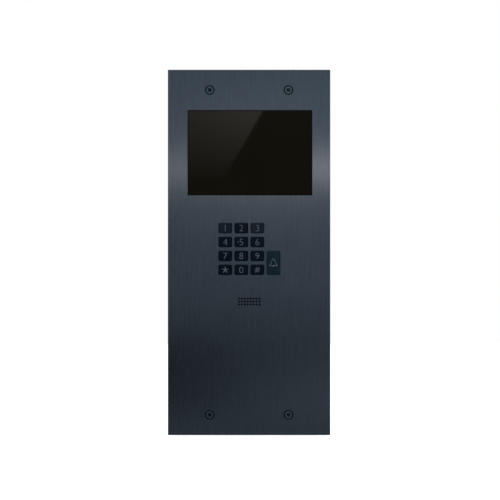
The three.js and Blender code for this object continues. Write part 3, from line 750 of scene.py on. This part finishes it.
def socket_tool(centre, face):
    """Six-lobed recess with the security pin left standing in the middle."""
    steps = 72
    loop = []
    for step in range(steps):
        angle = 2 * math.pi * step / steps
        radius = SOCKET_RADIUS + SOCKET_LOBE * math.cos(SOCKET_LOBES * angle)
        loop.append((centre.x + radius * math.cos(angle), centre.z + radius * math.sin(angle)))
    floor = face + SOCKET_DEPTH
    pin = circle(PIN_RADIUS, (centre.x, centre.z), steps)
    bm = bmesh.new()
    bridge(bm, [
        [(x, face - PAST, z) for x, z in loop],
        [(x, floor, z) for x, z in loop],
        [(x, floor, z) for x, z in pin],
        [(x, face + PIN_SUNK, z) for x, z in pin],
    ])
    return mesh_from(bm, "socket")


def make_screw(corner):
    """Countersunk screw with darker materials on the rounded rim and in the recess, which paint the
    shade of the countersink and of the socket.
    """
    node = f"front_screw_{corner}"
    low, high = box_of(node)
    middle = centre_of(node)
    rim_end = low.y + SCREW_DROP
    cone_end = rim_end + SCREW_HEAD_RADIUS - SCREW_SHANK_RADIUS
    bm = bmesh.new()
    add_turned(bm, [
        (0, low.y),
        (SCREW_FACE_RADIUS, low.y),
        (SCREW_FACE_RADIUS + 0.35 * MM, low.y + 0.14 * MM),
        (SCREW_HEAD_RADIUS, rim_end),
        (SCREW_SHANK_RADIUS, cone_end),
        (SCREW_SHANK_RADIUS, high.y - SCREW_POINT),
        (SCREW_SHANK_RADIUS - SCREW_POINT, high.y),
        (0, high.y),
    ], (middle.x, middle.z), steps=64)
    mesh = cut_mesh(mesh_from(bm, node), [socket_tool(middle, low.y)], f"screw_{corner}")
    for part in mesh.polygons:
        out = math.hypot(part.center.x - middle.x, part.center.z - middle.z)
        below = part.center.y - low.y
        # The rim and the recess take darker materials than the face: painted shade.
        on_rim = out > SCREW_FACE_RADIUS and part.center.y < rim_end
        in_recess = out < 2.3 * MM and 0.01 * MM < below < SOCKET_DEPTH + 0.1 * MM
        part.material_index = 1 if on_rim else 2 if in_recess else 0
    metals = [screw_metal, hole_shade_metal, recess_shade_metal]
    new_piece(f"screw_{corner}", mesh, *metals, nodes=[node], slot="stainless")


for corner in CORNERS:
    make_screw(corner)


# ---------------------------------------------------------------- wall box, gasket and grommet

TURNS = {  # from a piece turned about Y to one turned about each axis
    "X": Matrix.Rotation(-math.pi / 2, 4, "Z"),
    "Y": Matrix.Identity(4),
    "Z": Matrix.Rotation(math.pi / 2, 4, "X"),
}


def turned_mesh(profile, centre, axis, closed=False, steps=40):
    """Mesh turned about a line through centre along X, Y or Z, from [radius, distance] pairs."""
    bm = bmesh.new()
    add_turned(bm, profile, (0, 0), closed, steps)
    mesh = mesh_from(bm, "turned")
    mesh.transform(Matrix.Translation(centre) @ TURNS[axis])
    return mesh


def groove_tool(centre, axis):
    """Ring that cuts the thin circular groove of a knock-out into a wall."""
    inner, outer = KNOCK_OUT_RADIUS - GROOVE / 2, KNOCK_OUT_RADIUS + GROOVE / 2
    profile = [(inner, -GROOVE), (outer, -GROOVE), (outer, GROOVE), (inner, GROOVE)]
    return turned_mesh(profile, centre, axis, closed=True)


def box_tools(low, high):
    """Fixing holes, cable entry, knock-outs, pressed beads and spot welds of the wall box."""
    tools = []
    reach = 2 * BOX_WALL
    bore = [(FIXING_HOLE_RADIUS, -reach), (FIXING_HOLE_RADIUS, reach)]
    for x in (-FIXING_HOLE_X, FIXING_HOLE_X):
        for z in (-FIXING_HOLE_Z, FIXING_HOLE_Z):
            tools.append(turned_mesh(bore, (x, high.y - BOX_WALL / 2, z), "Y"))
    entry_y = centre_of("cable_grommet").y
    entry = [(ENTRY_RADIUS, -reach), (ENTRY_RADIUS, reach)]
    tools.append(turned_mesh(entry, (0, entry_y, low.z + BOX_WALL / 2), "Z"))
    for x in (-40 * MM, 40 * MM):
        tools.append(groove_tool((x, entry_y, low.z), "Z"))
        tools.append(groove_tool((x, entry_y, high.z), "Z"))
    for z in (-90 * MM, 90 * MM):
        tools.append(groove_tool((0, high.y, z), "Y"))
        tools.append(groove_tool((low.x, entry_y, z), "X"))
        tools.append(groove_tool((high.x, entry_y, z), "X"))
    weld = [(0, -0.12 * MM), (1.4 * MM, -0.1 * MM), (2.2 * MM, 0.12 * MM)]
    mirrored_weld = [(radius, -along) for radius, along in weld]
    weld_y = low.y + 6 * MM
    for step in range(-2, 3):
        z = step * 80 * MM
        tools.append(turned_mesh(weld, (high.x, weld_y, z), "X"))
        tools.append(turned_mesh(mirrored_weld, (low.x, weld_y, z), "X"))
    for x in (-30 * MM, 30 * MM):
        bm = bmesh.new()
        profile = [(0, high.y + 0.5 * MM), (0.2 * MM, high.y), (1.3 * MM, high.y - 1 * MM)]
        add_rounded(bm, profile, 7 * MM, 230 * MM, 3.4 * MM, (x, 0), steps=6)
        tools.append(mesh_from(bm, "tool"))
    return tools


def make_wall_box():
    low, high = box_of("box_walls")
    high.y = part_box("box_rear")[1][1]
    inner_bend = BOX_BEND - BOX_WALL
    profile = [
        (BOX_WALL + inner_bend, high.y - BOX_WALL), (BOX_WALL, high.y - BOX_WALL - inner_bend),
    ]
    profile += [(BOX_WALL, low.y), (0, low.y), (0, high.y - BOX_BEND)]
    for step in range(1, 5):
        angle = math.pi / 2 * step / 4
        inset, ahead = BOX_BEND * (1 - math.cos(angle)), BOX_BEND * (1 - math.sin(angle))
        profile.append((inset, high.y - ahead))
    bm = bmesh.new()
    add_rounded(bm, profile, high.x - low.x, high.z - low.z, 2 * MM, (0, 0), steps=4)
    mesh = cut_mesh(mesh_from(bm, "wall_box"), box_tools(low, high), "wall_box")
    new_piece("wall_box", mesh, zinc_sheet, nodes=["box_walls", "box_rear"], slot="galvanised")


def make_box_frame():
    low, high = box_of("box_frame")
    loops = [
        rounded(high.x - low.x, high.z - low.z, 2 * MM),
        rounded(FRAME_OPENING_WIDTH, FRAME_OPENING_HEIGHT, 3 * MM),
    ]
    for corner in CORNERS:
        middle = centre_of(f"rivet_nut_{corner}")
        loops.append(circle(RIVET_NUT_RADIUS + FIT, (middle.x, middle.z)))
    mesh = outlined_mesh("box_flange", loops, low.y, high.y, 0.15 * MM)
    new_piece("box_flange", mesh, zinc_sheet, nodes=["box_frame"], slot="galvanised")


def make_gasket():
    low, high = box_of("wall_gasket")
    loops = [
        rounded(high.x - low.x, high.z - low.z, 1.2 * MM),
        rounded(GASKET_OPENING_WIDTH, GASKET_OPENING_HEIGHT, 1.5 * MM),
    ]
    mesh = outlined_mesh("gasket", loops, low.y, high.y, 0.35 * MM)
    new_piece("gasket", mesh, foam_black, nodes=["wall_gasket"], slot="foam")


def make_grommet():
    """Rubber bush with rounded lips, gripping the edge of the cable entry."""
    low, high = box_of("cable_grommet")
    middle = centre_of("cable_grommet")
    half = (high.z - low.z) / 2
    lip_radius = (high.x - low.x) / 2
    neck = ENTRY_RADIUS - FIT
    groove = BOX_WALL / 2 + FIT
    shares = [
        (GROMMET_BORE, 0.75), (GROMMET_BORE + 0.5 * MM, 0.95), (GROMMET_BORE + 1.2 * MM, 1.0),
        (neck - 1 * MM, 1.0), (neck + 0.4 * MM, 0.93),
        (lip_radius - 0.5 * MM, 0.62), (lip_radius, 0.47),
    ]
    upper = [(radius, share * half) for radius, share in shares]
    upper.append((lip_radius - 0.1 * MM, groove))
    lower = [(radius, -y) for radius, y in reversed(upper)]
    profile = upper + [(neck, groove), (neck, -groove)] + lower
    bm = bmesh.new()
    add_turned(bm, profile, (0, 0), closed=True, steps=48)
    mesh = mesh_from(bm, "grommet")
    mesh.transform(Matrix.Translation(middle) @ Matrix.Rotation(math.pi / 2, 4, "X"))
    new_piece("grommet", mesh, rubber_black, nodes=["cable_grommet"], slot="rubber", angle=50)


make_wall_box()
make_box_frame()
make_gasket()
make_grommet()


# ---------------------------------------------------------------- carried-over CAD nodes

def finish_nodes(material, *nodes):
    for node in nodes:
        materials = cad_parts[node].data.materials
        materials.clear()
        materials.append(material)


finish_nodes(zinc_sheet, "keypad_backplate")
finish_nodes(zinc_part, *(f"{kind}_{corner}" for kind in ("rivet_nut", "carrier_nut", "backplate_nut")
                          for corner in CORNERS))
finish_nodes(steel_part, "lcd_frame", "speaker_basket", "processor_shield",
             "network_jack", "speaker_magnet")
finish_nodes(foam_black, "glass_tape", "speaker_seal")
finish_nodes(rubber_black, "microphone_boot", "microphone_capsule")
finish_nodes(silicone_grey, "keypad_membrane")
finish_nodes(plastic_black, "display_carrier", "camera_holder", "camera_lens", "tamper_switch")
finish_nodes(plastic_grey, "tamper_plunger")
finish_nodes(plastic_green, "terminal_block")
finish_nodes(plastic_blue, "lock_relay")
finish_nodes(board_green, "main_board", "keypad_board", "camera_board")
finish_nodes(cable_film, "keypad_ribbon")
finish_nodes(screen_off, "lcd_panel")
finish_nodes(cone_paper, "speaker_cone")


# ---------------------------------------------------------------- studio: floor, world, lights, camera

def flat_card(name, corners, material):
    bm = bmesh.new()
    bm.faces.new([bm.verts.new(corner) for corner in corners])
    card = bpy.data.objects.new(name, mesh_from(bm, name))
    bpy.context.scene.collection.objects.link(card)
    card.data.materials.append(material)
    return card


def make_floor():
    half = 3.0
    z = cad_low.z - 0.5 * MM
    corners = [(-half, -half, z), (half, -half, z), (half, half, z), (-half, half, z)]
    material, shader = new_material("floor_paper", 0.9, specular=0.1)
    tone = pattern(material, (3, 3, 3), 2)
    paper = blend_colours(material, tone, (0.9, 0.9, 0.9), (0.94, 0.94, 0.94))
    link(material, paper, shader.inputs["Base Color"])
    link(material, paper, shader.inputs["Emission Color"])
    shader.inputs["Emission Strength"].default_value = 0.6
    floor = flat_card("floor", corners, material)
    floor.visible_glossy = False


def make_world():
    """White to the camera; to everything else a soft sky that is darker below the horizon."""
    world = bpy.data.worlds.new("studio")
    bpy.context.scene.world = world
    world.use_nodes = True
    tree = world.node_tree
    tree.nodes.clear()
    place = tree.nodes.new("ShaderNodeTexCoord")
    split = tree.nodes.new("ShaderNodeSeparateXYZ")
    height = tree.nodes.new("ShaderNodeMapRange")
    height.inputs["From Min"].default_value = -1
    ramp = tree.nodes.new("ShaderNodeValToRGB")
    stops = [
        (0.0, 0.5), (0.42, 0.4), (0.47, 0.12), (0.50, 0.24), (0.53, 0.42), (0.62, 0.8), (1.0, 1.0),
    ]
    while len(ramp.color_ramp.elements) < len(stops):
        ramp.color_ramp.elements.new(0.5)
    for element, (position, level) in zip(ramp.color_ramp.elements, stops):
        element.position = position
        element.color = (level * 0.93, level * 0.98, level, 1)
    sky = tree.nodes.new("ShaderNodeBackground")
    plain = tree.nodes.new("ShaderNodeBackground")
    plain.inputs["Color"].default_value = (1, 1, 1, 1)
    path = tree.nodes.new("ShaderNodeLightPath")
    mix = tree.nodes.new("ShaderNodeMixShader")
    out = tree.nodes.new("ShaderNodeOutputWorld")
    links = tree.links
    links.new(place.outputs["Generated"], split.inputs["Vector"])
    links.new(split.outputs["Z"], height.inputs["Value"])
    links.new(height.outputs["Result"], ramp.inputs["Fac"])
    links.new(ramp.outputs["Color"], sky.inputs["Color"])
    links.new(path.outputs["Is Camera Ray"], mix.inputs["Fac"])
    links.new(sky.outputs["Background"], mix.inputs[1])
    links.new(plain.outputs["Background"], mix.inputs[2])
    links.new(mix.outputs["Shader"], out.inputs["Surface"])


def add_area(name, place, target, width, height, power, colour=(1, 1, 1)):
    data = bpy.data.lights.new(name, "AREA")
    data.shape = "RECTANGLE"
    data.size = width
    data.size_y = height
    data.energy = power
    data.color = colour
    lamp = bpy.data.objects.new(name, data)
    lamp.location = place
    lamp.rotation_euler = (Vector(target) - Vector(place)).to_track_quat("-Z", "Z").to_euler()
    lamp.visible_camera = False
    bpy.context.scene.collection.objects.link(lamp)
    return lamp


CAMERA_DISTANCE = 3.08
CAMERA_X, CAMERA_Z = 1.03 * MM, 2.66 * MM
GLOW = 2.4  # radiance of the card that the glass mirrors
NEAR_LIGHTS_Y = plate_front - 0.3
VIEW_WIDTH = 0.5542  # what the picture is wide at the plate
SENSOR = 36.0


def make_camera():
    data = bpy.data.cameras.new("camera")
    data.sensor_width = SENSOR
    data.lens = SENSOR * CAMERA_DISTANCE / VIEW_WIDTH
    data.clip_end = 20
    camera = bpy.data.objects.new("camera", data)
    camera.location = (CAMERA_X, plate_front - CAMERA_DISTANCE, CAMERA_Z)
    camera.rotation_euler = (math.pi / 2, 0, 0)
    bpy.context.scene.collection.objects.link(camera)
    bpy.context.scene.camera = camera


def unlit_by_near_lights():
    """Collection that keeps the glass out of the lights close in front of the plate."""
    collection = bpy.data.collections.new("unlit_by_near_lights")
    collection.objects.link(bpy.data.objects["glass_pane"])
    collection.collection_objects[0].light_linking.link_state = "EXCLUDE"
    return collection


def add_near_light(name, left, right, low, high, radiance, colour, unlit):
    """Soft light a hand's length in front of the plate, between the given X and Z."""
    area = (right - left) * (high - low)
    x, z = (left + right) / 2, (low + high) / 2
    place, target = (x, NEAR_LIGHTS_Y, z), (x, 0, z)
    power = radiance * math.pi * area
    lamp = add_area(name, place, target, right - left, high - low, power, colour)
    lamp.light_linking.receiver_collection = unlit


def reflected_only(thing):
    """Shows a studio card in reflections and nowhere else."""
    thing.visible_camera = False
    thing.visible_diffuse = False
    thing.visible_shadow = False
    thing.visible_transmission = False
    thing.visible_volume_scatter = False


def add_flag(left, right, low, high):
    """Black card in front of the plate, for the darker patch low on its left."""
    y = NEAR_LIGHTS_Y
    corners = [(left, y, low), (right, y, low), (right, y, high), (left, y, high)]
    reflected_only(flat_card("flag", corners, foam_black))


def glow_material():
    """Light of the card that the glass mirrors: it fades downwards and away from the slanting edge."""
    material = bpy.data.materials.new("glow")
    material.use_nodes = True
    tree = material.node_tree
    tree.nodes.clear()
    place = tree.nodes.new("ShaderNodeTexCoord")
    split = tree.nodes.new("ShaderNodeSeparateXYZ")
    down = tree.nodes.new("ShaderNodeMapRange")
    down.inputs["From Min"].default_value = 0.105
    down.inputs["From Max"].default_value = 0.205
    down.inputs["To Max"].default_value = GLOW
    aside = tree.nodes.new("ShaderNodeMapRange")
    aside.inputs["From Min"].default_value = -0.12
    aside.inputs["From Max"].default_value = 0.0
    aside.inputs["To Min"].default_value = 0.45
    strength = tree.nodes.new("ShaderNodeMath")
    strength.operation = "MULTIPLY"
    emission = tree.nodes.new("ShaderNodeEmission")
    emission.inputs["Color"].default_value = (1.0, 0.93, 0.86, 1)
    clear = tree.nodes.new("ShaderNodeBsdfTransparent")
    both = tree.nodes.new("ShaderNodeAddShader")
    out = tree.nodes.new("ShaderNodeOutputMaterial")
    links = tree.links
    links.new(place.outputs["Object"], split.inputs["Vector"])
    links.new(split.outputs["Z"], down.inputs["Value"])
    links.new(split.outputs["X"], aside.inputs["Value"])
    links.new(down.outputs["Result"], strength.inputs[0])
    links.new(aside.outputs["Result"], strength.inputs[1])
    links.new(strength.outputs["Value"], emission.inputs["Strength"])
    links.new(emission.outputs["Emission"], both.inputs[0])
    links.new(clear.outputs["BSDF"], both.inputs[1])
    links.new(both.outputs["Shader"], out.inputs["Surface"])
    return material


def add_glass_card():
    """Slanting card whose edge the glass mirrors as a diagonal line."""
    away = 1.0
    share = away / CAMERA_DISTANCE
    edge = [(15.4 * MM, 157.3 * MM), (-19.4 * MM, 96.9 * MM), (-26.7 * MM, 82.5 * MM)]
    left = [(-95 * MM, 82.5 * MM), (-95 * MM, 157.3 * MM)]
    corners = []
    for x, z in edge + left:
        mirrored_x = x * (1 + share) - CAMERA_X * share
        mirrored_z = z * (1 + share) - CAMERA_Z * share
        corners.append((mirrored_x, plate_front - away, mirrored_z))
    reflected_only(flat_card("glass_card", corners, glow_material()))


def light_scene():
    """Soft light overhead, and lights and cards placed to copy the photo's highlights."""
    add_area("overhead", (0, -0.6, 1.8), (0, 0, 0), 2.2, 1.6, 14)
    unlit = unlit_by_near_lights()
    warm = (1.0, 0.8, 0.64)
    cool = (1.0, 1.0, 1.0)
    add_near_light("band_left", -0.30, 0.03, 0.084, 0.116, 1.15, warm, unlit)
    add_near_light("band_right", 0.03, 0.36, 0.088, 0.117, 2.7, warm, unlit)
    add_near_light("side", 0.03, 0.30, -0.06, 0.25, 0.1, cool, unlit)
    add_near_light("middle", 0.0, 0.09, 0.02, 0.20, 0.65, cool, unlit)
    add_near_light("low_right", 0.02, 0.30, -0.20, -0.15, 0.12, cool, unlit)
    add_flag(-0.36, -0.01, -0.205, -0.09)
    add_glass_card()


make_floor()
make_world()
make_camera()
light_scene()
bpy.context.scene.view_settings.view_transform = "Standard"
